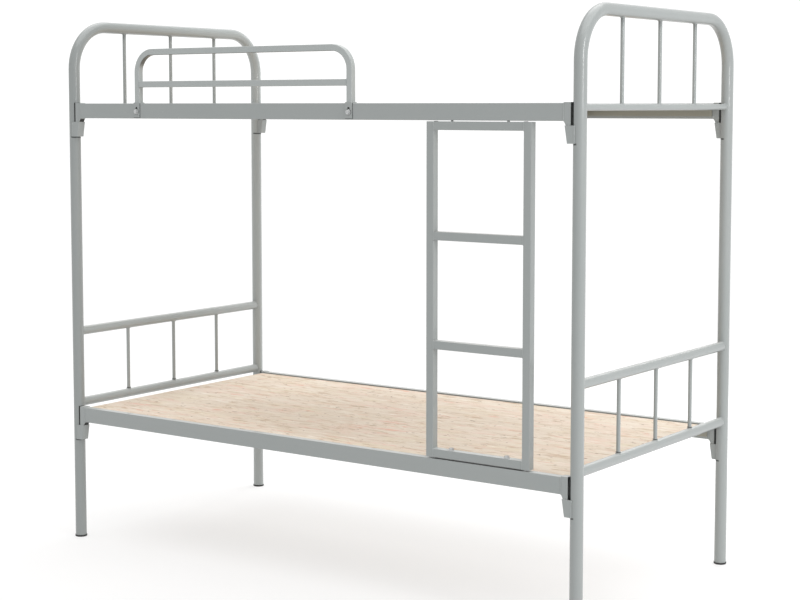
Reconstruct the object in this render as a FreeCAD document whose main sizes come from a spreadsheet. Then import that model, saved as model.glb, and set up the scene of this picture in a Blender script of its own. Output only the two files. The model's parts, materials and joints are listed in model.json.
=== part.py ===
import FreeCAD, Part
import math
import os
import Sketcher

# A knock-down steel bunk bed: two bent-tube end frames, two welded deck frames that hook
# into tapered sockets on the posts, a plywood board on each deck, a ladder and a guard rail.
# Origin: on the floor, midway between the four posts. +X runs along the bed to its right
# end, -Y is the side that carries the ladder and the guard rail, +Z is up. Millimetres.

os.makedirs("parts", exist_ok=True)
doc = FreeCAD.newDocument("bunk_bed")
sheet = doc.addObject("Spreadsheet::Sheet", "Sizes")
sheet_rows = []
sub_parts = []


class Size:
    """A length: its spreadsheet expression together with its present value."""

    def __init__(self, text, value):
        self.text = text
        self.value = value

    def combine(self, sign, other, value):
        return Size(f"({self.text} {sign} {as_size(other).text})", value)

    def __add__(self, other):
        return self.combine("+", other, self.value + as_size(other).value)

    def __sub__(self, other):
        return self.combine("-", other, self.value - as_size(other).value)

    def __mul__(self, other):
        return self.combine("*", other, self.value * as_size(other).value)

    def __truediv__(self, other):
        return self.combine("/", other, self.value / as_size(other).value)

    def __radd__(self, other):
        return as_size(other) + self

    def __rmul__(self, other):
        return as_size(other) * self

    def __neg__(self):
        return -1 * self


def as_size(number):
    return number if isinstance(number, Size) else Size(f"{number}", number)


def root(size):
    return Size(f"sqrt({size.text})", math.sqrt(size.value))


def driving(alias, value):
    """Writes one driving dimension into the sheet."""
    sheet_rows.append(alias)
    row = len(sheet_rows)
    sheet.set(f"A{row}", alias)
    sheet.set(f"B{row}", str(value))
    sheet.setAlias(f"B{row}", alias)
    return Size(f"Sizes.{alias}", value)


ZERO = as_size(0)
TINY = 1e-6

# ---------------------------------------------------------------- driving dimensions
overall_length = driving("overall_length", 2000)
overall_width = driving("overall_width", 990)
overall_height = driving("overall_height", 1776)
seat_gap = driving("seat_gap", 0.3)
hole_clearance = driving("hole_clearance", 1.0)

# end frames
post_diameter = driving("post_diameter", 38)
post_wall = driving("post_wall", 1.5)
arch_bend = driving("arch_bend", 145)
crossbar_diameter = driving("crossbar_diameter", 30)
crossbar_wall = driving("crossbar_wall", 1.5)
slim_crossbar_diameter = driving("slim_crossbar_diameter", 19)
slim_crossbar_wall = driving("slim_crossbar_wall", 1.2)
upper_crossbar_rise = driving("upper_crossbar_rise", 1484)
middle_crossbar_rise = driving("middle_crossbar_rise", 716)
lower_crossbar_rise = driving("lower_crossbar_rise", 469)
rod_diameter = driving("rod_diameter", 12)
rod_spacing = driving("rod_spacing", 235)

# black foot plugs
foot_rim_diameter = driving("foot_rim_diameter", 41)
foot_rim_height = driving("foot_rim_height", 6)
foot_plug_length = driving("foot_plug_length", 28)
foot_chamfer = driving("foot_chamfer", 1.5)

# deck frames
lower_rail_rise = driving("lower_rail_rise", 405.5)
upper_rail_rise = driving("upper_rail_rise", 1446)
rail_height = driving("rail_height", 50)
rail_depth = driving("rail_depth", 25)
rail_wall = driving("rail_wall", 1.5)
rail_corner = driving("rail_corner", 2.5)
rail_setback = driving("rail_setback", 2)
ledge_leg = driving("ledge_leg", 25)
ledge_thickness = driving("ledge_thickness", 3)
ledge_end_gap = driving("ledge_end_gap", 5)
bearer_side = driving("bearer_side", 25)
bearer_wall = driving("bearer_wall", 1.5)
bearer_spacing = driving("bearer_spacing", 320)

# hooks on the rail ends and sockets on the posts
rail_end_gap = driving("rail_end_gap", 24)
hook_lip_gap = driving("hook_lip_gap", 1.5)
hook_sheet = driving("hook_sheet", 2)
hook_rise = driving("hook_rise", 2)
hook_tip_rise = driving("hook_tip_rise", 2)
socket_drop = driving("socket_drop", 12)
socket_height = driving("socket_height", 50)
socket_depth = driving("socket_depth", 20)
socket_taper = driving("socket_taper", 8)
socket_sheet = driving("socket_sheet", 2)
fold_radius = driving("fold_radius", 2.5)

# boards
board_end_inset = driving("board_end_inset", 31)
board_thickness = driving("board_thickness", 12)
board_recess = driving("board_recess", 4.5)
board_side_gap = driving("board_side_gap", 3)
board_corner = driving("board_corner", 3)

# ladder
ladder_inset = driving("ladder_inset", 322)
ladder_width = driving("ladder_width", 354)
ladder_tube = driving("ladder_tube", 25)
ladder_wall = driving("ladder_wall", 1.2)
ladder_corner = driving("ladder_corner", 2)
ladder_foot_gap = driving("ladder_foot_gap", 4)
ladder_top_gap = driving("ladder_top_gap", 3)
ladder_bolt_spread = driving("ladder_bolt_spread", 190)

# guard rail
guard_inset = driving("guard_inset", 745)
guard_width = driving("guard_width", 894)
guard_top = driving("guard_top", 1673)
guard_tube = driving("guard_tube", 20)
guard_wall = driving("guard_wall", 1.2)
guard_corner = driving("guard_corner", 2)
guard_bend = driving("guard_bend", 66)
guard_bar_rise = driving("guard_bar_rise", 1558)
tab_width = driving("tab_width", 26)
tab_thickness = driving("tab_thickness", 2.5)
tab_edge_gap = driving("tab_edge_gap", 4)
tab_slot_length = driving("tab_slot_length", 20)
tab_bolt_drop = driving("tab_bolt_drop", 27)

# M8 bolts and weld nuts
bolt_diameter = driving("bolt_diameter", 8)
bolt_flange_diameter = driving("bolt_flange_diameter", 17)
bolt_flange_thickness = driving("bolt_flange_thickness", 1.6)
bolt_head_flats = driving("bolt_head_flats", 13)
bolt_head_height = driving("bolt_head_height", 5)
bolt_thread_reach = driving("bolt_thread_reach", 11)
nut_height = driving("nut_height", 6.5)
nut_bore_clearance = driving("nut_bore_clearance", 0.2)
doc.recompute()

# ---------------------------------------------------------------- derived places
post_radius = post_diameter / 2
post_x = overall_length / 2 - post_radius
post_y = overall_width / 2 - post_radius
arch_axis_rise = overall_height - post_radius
rail_face_y = post_y + post_radius - rail_setback
rail_y = rail_face_y - rail_depth / 2
rail_inner_y = rail_face_y - rail_depth
hook_reach = post_radius + rail_end_gap
hook_lip = post_radius + hook_lip_gap
socket_reach = post_radius + socket_depth
rail_length = 2 * (post_x - hook_reach)
board_length = 2 * (post_x - board_end_inset)
lower_rail_top = lower_rail_rise + rail_height
upper_rail_top = upper_rail_rise + rail_height
bolt_hole = bolt_diameter + hole_clearance
ladder_centre = post_x - ladder_inset
ladder_foot = lower_rail_top + ladder_foot_gap
ladder_height = upper_rail_rise - ladder_top_gap - ladder_foot
ladder_y = -rail_y
guard_centre = guard_inset - post_x
guard_foot = upper_rail_top + tab_thickness
guard_y = -rail_face_y + guard_tube / 2
tab_face_y = -rail_face_y - tab_thickness
tab_bolt_rise = upper_rail_top - tab_bolt_drop


# ---------------------------------------------------------------- modelling helpers
def bind(item, **sizes):
    for name, size in sizes.items():
        item.setExpression(name, as_size(size).text)


def place(item, x=ZERO, y=ZERO, z=ZERO, turn=None):
    """Puts an object at a bound place, with an optional fixed turn (axis, degrees)."""
    rotation = FreeCAD.Rotation(FreeCAD.Vector(*turn[0]), turn[1]) if turn else FreeCAD.Rotation()
    item.Placement = FreeCAD.Placement(FreeCAD.Vector(0, 0, 0), rotation)
    for axis, size in zip("xyz", (x, y, z)):
        item.setExpression(f"Placement.Base.{axis}", as_size(size).text)
    return item


def finish(item, label):
    """Names a finished sub-part: its label is the name of its node."""
    item.Label = label
    sub_parts.append(item)
    return item


def new_body(name):
    return doc.addObject("PartDesign::Body", name)


def new_sketch(body, role, name):
    sketch = body.newObject("Sketcher::SketchObject", name)
    plane = next(item for item in body.Origin.OriginFeatures if item.Role == role)
    sketch.AttachmentSupport = [(plane, "")]
    sketch.MapMode = "FlatFace"
    return sketch


def hold(sketch, size, kind, *places):
    """Adds one dimension to a sketch and binds it to its expression."""
    index = sketch.addConstraint(Sketcher.Constraint(kind, *places, size.value))
    sketch.setExpression(f"Constraints[{index}]", size.text)


def hold_point(sketch, geometry, point, x, y):
    """Fixes a point of a sketch at (x, y), measured from the sketch's origin."""
    for kind, axis, size in (("DistanceX", -2, x), ("DistanceY", -1, y)):
        if size.value == 0:
            sketch.addConstraint(Sketcher.Constraint("PointOnObject", geometry, point, axis))
        elif size.value > 0:
            hold(sketch, size, kind, -1, 1, geometry, point)
        else:
            hold(sketch, -size, kind, geometry, point, -1, 1)


def flat_point(x, y):
    return FreeCAD.Vector(x.value, y.value, 0)


def draw_polygon(sketch, corners):
    """Draws a closed polygon through its corners."""
    first = sketch.GeometryCount
    count = len(corners)
    for index, corner in enumerate(corners):
        following = corners[(index + 1) % count]
        sketch.addGeometry(Part.LineSegment(flat_point(*corner), flat_point(*following)))
    for index, corner in enumerate(corners):
        before = first + (index - 1) % count
        sketch.addConstraint(Sketcher.Constraint("Coincident", before, 2, first + index, 1))
        hold_point(sketch, first + index, 1, *corner)


def toward(start, end, distance):
    """The point at a distance from start along the upright or level line to end."""
    across = end[0].value - start[0].value
    up = end[1].value - start[1].value
    if abs(across) > abs(up):
        return (start[0] + math.copysign(1, across) * distance, start[1])
    return (start[0], start[1] + math.copysign(1, up) * distance)


def draw_rounded(sketch, corners, radius, closed):
    """Draws level and upright lines from corner to corner, joined by quarter arcs."""
    count = len(corners)
    runs = count if closed else count - 1
    lines = []
    for index in range(runs):
        start, end = corners[index], corners[(index + 1) % count]
        first = start if not closed and index == 0 else toward(start, end, radius)
        last = end if not closed and index == runs - 1 else toward(end, start, radius)
        line = sketch.addGeometry(Part.LineSegment(flat_point(*first), flat_point(*last)))
        hold_point(sketch, line, 1, *first)
        hold_point(sketch, line, 2, *last)
        lines.append((line, flat_point(*first), flat_point(*last)))
    for index in range(runs if closed else runs - 1):
        line, _, arc_start = lines[index]
        following, arc_end, _ = lines[(index + 1) % runs]
        corner = flat_point(*corners[(index + 1) % count])
        centre = arc_start + arc_end - corner
        middle = centre + (corner - centre).normalize() * radius.value
        arc = sketch.addGeometry(Part.Arc(arc_start, middle, arc_end))
        reversed_arc = (sketch.getPoint(arc, 1) - arc_start).Length > radius.value / 2
        near, far = (2, 1) if reversed_arc else (1, 2)
        sketch.addConstraint(Sketcher.Constraint("Coincident", line, 2, arc, near))
        sketch.addConstraint(Sketcher.Constraint("Coincident", following, 1, arc, far))
        hold(sketch, radius, "Radius", arc)


def rectangle(width, height):
    """The corners of a rectangle about the sketch's origin."""
    across, up = width / 2, height / 2
    return [(-across, -up), (across, -up), (across, up), (-across, up)]


def draw_box_section(sketch, width, height, wall, corner):
    """Draws the hollow section of a rectangular tube."""
    draw_rounded(sketch, rectangle(width, height), corner, closed=True)
    inside = rectangle(width - 2 * wall, height - 2 * wall)
    draw_rounded(sketch, inside, corner - wall, closed=True)


def pad(body, sketch, length, symmetric=True):
    feature = body.newObject("PartDesign::Pad", f"{body.Name}_pad")
    feature.Profile = sketch
    feature.SideType = "Symmetric" if symmetric else "One side"
    bind(feature, Length=length)
    return feature


def pocket(body, sketch, length):
    """Cuts a pocket of the given width, half on each side of the sketch."""
    feature = body.newObject("PartDesign::Pocket", f"{body.Name}_pocket")
    feature.Profile = sketch
    feature.SideType = "Symmetric"
    bind(feature, Length=length)
    return feature


def round_folds(body, feature, width, limit):
    """Rounds the outer fold lines of a sheet channel: its upright edges beyond -limit in X."""
    doc.recompute()
    names = []
    for number, edge in enumerate(feature.Shape.Edges, start=1):
        ends = [vertex.Point for vertex in edge.Vertexes]
        on_side = all(abs(abs(end.y) - width.value / 2) < TINY for end in ends)
        upright = abs(ends[0].z - ends[-1].z) > TINY
        if on_side and upright and max(end.x for end in ends) < -limit.value:
            names.append(f"Edge{number}")
    fold = body.newObject("PartDesign::Fillet", f"{body.Name}_folds")
    fold.Base = (feature, names)
    bind(fold, Radius=fold_radius)


def box_tube(name, role, width, height, wall, corner, length, symmetric=True):
    """A rectangular tube whose section lies in one of its body's origin planes."""
    body = new_body(name)
    section = new_sketch(body, role, f"{name}_section")
    draw_box_section(section, width, height, wall, corner)
    pad(body, section, length, symmetric)
    return body


def extrusion(name, role, corners, length):
    """A polygon drawn in an origin plane and padded evenly to both sides of it."""
    body = new_body(name)
    profile = new_sketch(body, role, f"{name}_profile")
    draw_polygon(profile, corners)
    pad(body, profile, length)
    return body


def bent_tube(name, path_role, span, rise, bend, draw_section):
    """A tube bent into an upside-down U that starts at its body's origin."""
    body = new_body(name)
    path = new_sketch(body, path_role, f"{name}_path")
    corners = [(ZERO, ZERO), (ZERO, rise), (span, rise), (span, ZERO)]
    draw_rounded(path, corners, bend, closed=False)
    section = new_sketch(body, "XY_Plane", f"{name}_section")
    draw_section(section)
    pipe = body.newObject("PartDesign::AdditivePipe", f"{name}_pipe")
    pipe.Profile = section
    pipe.Spine = (path, [])
    return body


def cylinder(name, diameter, height, **where):
    item = doc.addObject("Part::Cylinder", name)
    bind(item, Radius=diameter / 2, Height=height)
    return place(item, **where)


def prism(name, flats, height, **where):
    """A hexagonal prism given by the distance across its flats."""
    item = doc.addObject("Part::Prism", name)
    item.Polygon = 6
    bind(item, Circumradius=flats / math.sqrt(3), Height=height)
    return place(item, **where)


def cut(name, base, *tools):
    """Cuts each tool in turn from the base."""
    for index, tool in enumerate(tools):
        result = doc.addObject("Part::Cut", f"{name}_cut_{index}")
        result.Base = base
        result.Tool = tool
        base = result
    return base


def group(name, items):
    """Identical pieces kept together as the solids of one sub-part."""
    compound = doc.addObject("Part::Compound", f"{name}_set")
    compound.Links = items
    return finish(compound, name)


SIDES = (("left", -1), ("right", 1))
FACES = (("front", -1), ("back", 1))
DECKS = (("lower", lower_rail_rise), ("upper", upper_rail_rise))
TO_BACK = ((1, 0, 0), -90)
TO_FLOOR = ((1, 0, 0), 180)
HALF_TURN = ((0, 0, 1), 180)


# ---------------------------------------------------------------- end frames
def arch_tube(side, sign):
    def draw_section(sketch):
        centre, normal = flat_point(ZERO, ZERO), FreeCAD.Vector(0, 0, 1)
        for size in (post_radius, post_radius - post_wall):
            circle = sketch.addGeometry(Part.Circle(centre, normal, size.value))
            sketch.addConstraint(Sketcher.Constraint("Coincident", circle, 3, -1, 1))
            hold(sketch, size, "Radius", circle)

    tube = bent_tube(f"{side}_arch", "YZ_Plane", 2 * post_y, arch_axis_rise - foot_rim_height,
                     arch_bend, draw_section)
    place(tube, sign * post_x, -post_y, foot_rim_height)
    finish(tube, f"{side}_arch_tube")


def post_envelope(side, sign, face, face_sign):
    """The solid outline of a post, which the pieces welded to it are cut to."""
    return cylinder(f"{side}_{face}_post_outline", post_diameter, arch_axis_rise,
                    x=sign * post_x, y=face_sign * post_y)


def crossbar(side, sign, name, diameter, wall, rise, posts):
    """A tube between the two posts of an end frame, coped at both ends to fit them."""
    where = {"x": sign * post_x, "y": -post_y, "z": rise, "turn": TO_BACK}
    outline = cylinder(f"{side}_{name}_outline", diameter, 2 * post_y, **where)
    bore = cylinder(f"{side}_{name}_bore", diameter - 2 * wall, 2 * post_y, **where)
    tube = cut(f"{side}_{name}", outline, bore, *posts)
    finish(tube, f"{side}_{name}_crossbar")
    return outline


def rods(side, sign, panel, low_rise, low_outline, high_rise, high_outline):
    """Three upright rods between two level tubes, coped at both ends."""
    for index, place_name in enumerate(("front", "middle", "back")):
        name = f"{side}_{panel}_rod_{place_name}"
        bar = cylinder(f"{name}_bar", rod_diameter, high_rise - low_rise, x=sign * post_x,
                       y=(index - 1) * rod_spacing, z=low_rise)
        finish(cut(name, bar, low_outline, high_outline), name)


def socket(name, side_sign, face_sign, rail_rise, post):
    """A folded sheet pocket that narrows downward, welded to the inner side of a post."""
    edge = root(post_radius * post_radius
                - (post_radius - rail_setback + seat_gap) * (post_radius - rail_setback + seat_gap))
    top, bottom = -socket_drop, -socket_drop - socket_height
    narrow_reach = socket_reach - socket_taper
    outside = [(-socket_reach, top), (-narrow_reach, bottom), (-edge, bottom), (-edge, top)]
    inside = [(socket_sheet - socket_reach, top), (socket_sheet - narrow_reach, bottom),
              (ZERO, bottom), (ZERO, top)]
    width = rail_depth + 2 * seat_gap
    pocket_body = extrusion(f"{name}_sheet", "XZ_Plane", outside, width + 2 * socket_sheet)
    hollow = new_sketch(pocket_body, "XZ_Plane", f"{name}_hollow")
    draw_polygon(hollow, inside)
    opened = pocket(pocket_body, hollow, width)
    round_folds(pocket_body, opened, width + 2 * socket_sheet, edge + socket_sheet)
    place(pocket_body, side_sign * post_x, face_sign * rail_y, rail_rise,
          turn=HALF_TURN if side_sign < 0 else None)
    finish(cut(name, pocket_body, post), name)


def foot_plug(name, sign, face_sign):
    rim_radius = foot_rim_diameter / 2
    plug_radius = post_radius - post_wall - seat_gap
    plug_top = foot_rim_height + foot_plug_length
    corners = [(ZERO, ZERO), (rim_radius - foot_chamfer, ZERO), (rim_radius, foot_chamfer),
               (rim_radius, foot_rim_height), (plug_radius, foot_rim_height),
               (plug_radius, plug_top), (ZERO, plug_top)]
    body = new_body(f"{name}_body")
    profile = new_sketch(body, "XZ_Plane", f"{name}_profile")
    draw_polygon(profile, corners)
    turned = body.newObject("PartDesign::Revolution", f"{name}_turned")
    turned.Profile = profile
    turned.ReferenceAxis = (profile, ["V_Axis"])
    turned.Angle = 360
    place(body, sign * post_x, face_sign * post_y)
    finish(body, name)


def end_frame(side, sign):
    arch_tube(side, sign)
    posts = [post_envelope(side, sign, face, face_sign) for face, face_sign in FACES]
    slim = crossbar(side, sign, "upper", slim_crossbar_diameter, slim_crossbar_wall,
                    upper_crossbar_rise, posts)
    middle = crossbar(side, sign, "middle", crossbar_diameter, crossbar_wall,
                      middle_crossbar_rise, posts)
    lower = crossbar(side, sign, "lower", crossbar_diameter, crossbar_wall,
                     lower_crossbar_rise, posts)
    arch_top = cylinder(f"{side}_arch_top_outline", post_diameter, 2 * post_y,
                        x=sign * post_x, y=-post_y, z=arch_axis_rise, turn=TO_BACK)
    rods(side, sign, "upper", upper_crossbar_rise, slim, arch_axis_rise, arch_top)
    rods(side, sign, "lower", lower_crossbar_rise, lower, middle_crossbar_rise, middle)
    for post, (face, face_sign) in zip(posts, FACES):
        foot_plug(f"{side}_{face}_foot", sign, face_sign)
        for deck, rail_rise in DECKS:
            socket(f"{side}_{face}_{deck}_socket", sign, face_sign, rail_rise, post)


# ---------------------------------------------------------------- deck frames
def rail_hole(name, x, y, z, turn=None):
    """A bolt hole through one wall of a rail, started one wall's thickness outside it."""
    return cylinder(name, bolt_hole, 3 * rail_wall, x=x, y=y, z=z, turn=turn)


def rail(deck, rail_rise, face, face_sign, holes):
    name = f"{deck}_{face}_rail"
    tube = box_tube(f"{name}_tube", "YZ_Plane", rail_depth, rail_height, rail_wall, rail_corner,
                    rail_length)
    place(tube, ZERO, face_sign * rail_y, rail_rise + rail_height / 2)
    finish(cut(name, tube, *holes) if holes else tube, name)


def hook(name, side_sign, face_sign, rail_rise):
    """The roofed, folded channel on a rail's end; its tapered tongue drops into the socket."""
    top = rail_height + hook_rise
    neck_reach = socket_reach - socket_sheet - seat_gap
    tip_reach = neck_reach - socket_taper * (socket_height - hook_tip_rise) / socket_height
    tip = hook_tip_rise - socket_drop - socket_height

    def outline(setback, edge, roof):
        return [(setback - hook_reach, roof), (setback - hook_reach, ZERO),
                (setback - neck_reach, -socket_drop), (setback - tip_reach, tip),
                (edge, tip), (edge, roof)]

    body = extrusion(f"{name}_sheet", "XZ_Plane", outline(ZERO, -hook_lip, top), rail_depth)
    hollow = new_sketch(body, "XZ_Plane", f"{name}_hollow")
    draw_polygon(hollow, outline(hook_sheet, ZERO, top - hook_sheet))
    opened = pocket(body, hollow, rail_depth - 2 * hook_sheet)
    round_folds(body, opened, rail_depth, hook_lip + hook_sheet)
    return place(body, side_sign * post_x, face_sign * rail_y, rail_rise,
                 turn=HALF_TURN if side_sign < 0 else None)


def ledge(deck, face, face_sign, top_rise):
    """The angle welded along a rail's inner side; its level leg carries the board."""
    corners = [(ZERO, ZERO), (ZERO, -ledge_leg), (-ledge_thickness, -ledge_leg),
               (-ledge_thickness, -ledge_thickness), (-ledge_leg, -ledge_thickness),
               (-ledge_leg, ZERO)]
    name = f"{deck}_{face}_ledge"
    body = extrusion(f"{name}_angle", "YZ_Plane", corners, rail_length - 2 * ledge_end_gap)
    return place(body, ZERO, face_sign * rail_inner_y, top_rise,
                 turn=HALF_TURN if face_sign < 0 else None)


def bearers(deck, top_rise):
    """Four square tubes across the deck, between the ledges and level with them."""
    tubes = []
    for index in range(4):
        tube = box_tube(f"{deck}_bearer_{index + 1}", "XZ_Plane", bearer_side, bearer_side,
                        bearer_wall, rail_corner, 2 * (rail_inner_y - ledge_leg))
        place(tube, (index - 1.5) * bearer_spacing, ZERO, top_rise - bearer_side / 2)
        tubes.append(tube)
    group(f"{deck}_bearers", tubes)


def board(deck, bottom_rise):
    body = new_body(f"{deck}_board_body")
    outline = new_sketch(body, "XY_Plane", f"{deck}_board_outline")
    width = 2 * (rail_inner_y - board_side_gap)
    draw_rounded(outline, rectangle(board_length, width), board_corner, closed=True)
    pad(body, outline, board_thickness, symmetric=False)
    place(body, z=bottom_rise)
    finish(body, f"{deck}_board")


def deck_frame(deck, rail_rise, front_holes):
    support_rise = rail_rise + rail_height - board_recess - board_thickness
    for face, face_sign in FACES:
        rail(deck, rail_rise, face, face_sign, front_holes if face == "front" else [])
        hooks = [hook(f"{deck}_{face}_{side}_hook", sign, face_sign, rail_rise)
                 for side, sign in SIDES]
        group(f"{deck}_{face}_hooks", hooks)
    group(f"{deck}_ledges", [ledge(deck, face, face_sign, support_rise)
                             for face, face_sign in FACES])
    bearers(deck, support_rise)
    board(deck, support_rise)


# ---------------------------------------------------------------- bolts and nuts
def bolt(name, grip, **where):
    """A flanged hexagon bolt: its flange seats at the origin, its shank points up +Z."""
    shank = cylinder(f"{name}_shank", bolt_diameter, grip + bolt_thread_reach)
    flange = cylinder(f"{name}_flange", bolt_flange_diameter, bolt_flange_thickness,
                      z=-bolt_flange_thickness)
    head = prism(f"{name}_head", bolt_head_flats, bolt_head_height,
                 z=-bolt_flange_thickness - bolt_head_height)
    whole = doc.addObject("Part::MultiFuse", name)
    whole.Shapes = [shank, flange, head]
    return place(whole, **where)


def nut(name, **where):
    """A weld nut that stands on its origin, bored for the bolt."""
    blank = prism(f"{name}_blank", bolt_head_flats, nut_height)
    bore = cylinder(f"{name}_bore", bolt_diameter + nut_bore_clearance, nut_height)
    return place(cut(name, blank, bore), **where)


# ---------------------------------------------------------------- ladder
def ladder_bolt_places():
    return [ladder_centre + sign * ladder_bolt_spread / 2 for _, sign in SIDES]


def ladder_stile(side, sign):
    stile = box_tube(f"ladder_{side}_tube", "XY_Plane", ladder_tube, ladder_tube, ladder_wall,
                     ladder_corner, ladder_height, symmetric=False)
    place(stile, ladder_centre + sign * (ladder_width - ladder_tube) / 2, ladder_y, ladder_foot)
    finish(stile, f"ladder_{side}_stile")


def ladder_rungs():
    """Four rungs at even steps; the end ones are drilled for the bolts."""
    step = (ladder_height - ladder_tube) / 3
    access_hole = bolt_flange_diameter + 2 * hole_clearance
    for index in range(4):
        name = f"ladder_rung_{index + 1}"
        axis_rise = ladder_foot + ladder_tube / 2 + index * step
        rung = box_tube(f"{name}_tube", "YZ_Plane", ladder_tube, ladder_tube, ladder_wall,
                        ladder_corner, ladder_width - 2 * ladder_tube)
        place(rung, ladder_centre, ladder_y, axis_rise)
        holes = []
        under_side = axis_rise - ladder_tube / 2
        for number, x in enumerate(ladder_bolt_places()):
            if index == 0:
                holes.append(cylinder(f"{name}_bolt_hole_{number}", bolt_hole, ladder_tube,
                                      x=x, y=ladder_y, z=under_side))
            if index == 3:
                holes.append(cylinder(f"{name}_bolt_hole_{number}", bolt_hole, ladder_tube,
                                      x=x, y=ladder_y, z=axis_rise))
                holes.append(cylinder(f"{name}_access_hole_{number}", access_hole,
                                      ladder_tube / 2, x=x, y=ladder_y, z=under_side))
        finish(cut(name, rung, *holes) if holes else rung, name)


def ladder_fasteners():
    """Two bolts down into the lower rail and two up into the upper rail, with their nuts."""
    bolts, nuts = [], []
    for number, x in enumerate(ladder_bolt_places()):
        bolts.append(bolt(f"ladder_foot_bolt_{number}", ladder_tube + ladder_foot_gap + rail_wall,
                          x=x, y=ladder_y, z=ladder_foot + ladder_tube, turn=TO_FLOOR))
        bolts.append(bolt(f"ladder_top_bolt_{number}", ladder_wall + ladder_top_gap + rail_wall,
                          x=x, y=ladder_y, z=ladder_foot + ladder_height - ladder_wall))
        nuts.append(nut(f"ladder_foot_nut_{number}", x=x, y=ladder_y,
                        z=lower_rail_top - rail_wall - nut_height))
        nuts.append(nut(f"ladder_top_nut_{number}", x=x, y=ladder_y,
                        z=upper_rail_rise + rail_wall))
    return bolts, nuts


# ---------------------------------------------------------------- guard rail
def guard_leg_places():
    return [guard_centre + sign * (guard_width - guard_tube) / 2 for _, sign in SIDES]


def guard_hoop():
    def draw_section(sketch):
        draw_box_section(sketch, guard_tube, guard_tube, guard_wall, guard_corner)

    hoop = bent_tube("guard_tube_body", "XZ_Plane", guard_width - guard_tube,
                     guard_top - guard_tube / 2 - guard_foot, guard_bend, draw_section)
    place(hoop, guard_leg_places()[0], guard_y, guard_foot)
    finish(hoop, "guard_hoop")


def guard_bar():
    bar = box_tube("guard_bar_tube", "YZ_Plane", guard_tube, guard_tube, guard_wall,
                   guard_corner, guard_width - 2 * guard_tube)
    place(bar, guard_centre, guard_y, guard_bar_rise)
    finish(bar, "guard_bar")


def guard_bracket(side, x):
    """A folded tab under a leg: its foot lies on the rail, its slotted face hangs in front."""
    shelf = rail_depth - rail_corner
    drop = rail_height - tab_edge_gap
    corners = [(-tab_thickness, -drop), (ZERO, -drop), (ZERO, ZERO), (shelf, ZERO),
               (shelf, tab_thickness), (-tab_thickness, tab_thickness)]
    body = extrusion(f"guard_{side}_tab", "YZ_Plane", corners, tab_width)
    slot = new_sketch(body, "XZ_Plane", f"guard_{side}_slot")
    across = bolt_hole / 2
    low = -tab_bolt_drop - across
    high = low + tab_slot_length
    draw_rounded(slot, [(-across, low), (across, low), (across, high), (-across, high)],
                 0.9 * across, closed=True)
    pocket(body, slot, 4 * tab_thickness)
    place(body, x, -rail_face_y, upper_rail_top)
    finish(body, f"guard_{side}_bracket")


def guard_fasteners():
    bolts, nuts = [], []
    for number, x in enumerate(guard_leg_places()):
        bolts.append(bolt(f"guard_bolt_{number}", tab_thickness + rail_wall, x=x, y=tab_face_y,
                          z=tab_bolt_rise, turn=TO_BACK))
        nuts.append(nut(f"guard_nut_{number}", x=x, y=-rail_face_y + rail_wall,
                        z=tab_bolt_rise, turn=TO_BACK))
    return bolts, nuts


# ---------------------------------------------------------------- assembly
def lower_rail_holes():
    return [rail_hole(f"lower_rail_hole_{number}", x, ladder_y, lower_rail_top - 2 * rail_wall)
            for number, x in enumerate(ladder_bolt_places())]


def upper_rail_holes():
    ladder_holes = [rail_hole(f"upper_rail_ladder_hole_{number}", x, ladder_y,
                              upper_rail_rise - rail_wall)
                    for number, x in enumerate(ladder_bolt_places())]
    guard_holes = [rail_hole(f"upper_rail_guard_hole_{number}", x, -rail_face_y - rail_wall,
                             tab_bolt_rise, turn=TO_BACK)
                   for number, x in enumerate(guard_leg_places())]
    return ladder_holes + guard_holes


for side, sign in SIDES:
    end_frame(side, sign)
deck_frame("lower", lower_rail_rise, lower_rail_holes())
deck_frame("upper", upper_rail_rise, upper_rail_holes())
for side, sign in SIDES:
    ladder_stile(side, sign)
ladder_rungs()
guard_hoop()
guard_bar()
for (side, _), x in zip(SIDES, guard_leg_places()):
    guard_bracket(side, x)
ladder_bolts, ladder_nuts = ladder_fasteners()
guard_bolts, guard_nuts = guard_fasteners()
group("ladder_bolts", ladder_bolts)
group("guard_bolts", guard_bolts)
group("weld_nuts", ladder_nuts + guard_nuts)
doc.recompute()

# ---------------------------------------------------------------- checks and files
for item in doc.Objects:
    if "Invalid" in item.State or "Error" in item.State:
        raise RuntimeError(f"{item.Label} failed: {item.State}")
for item in sub_parts:
    if item.Shape.isNull() or not item.Shape.isValid() or not item.Shape.Solids:
        raise RuntimeError(f"{item.Label} has no valid shape")
for item in sub_parts:
    item.Shape.exportStep(f"parts/{item.Label}.step")
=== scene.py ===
import json
import math

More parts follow.
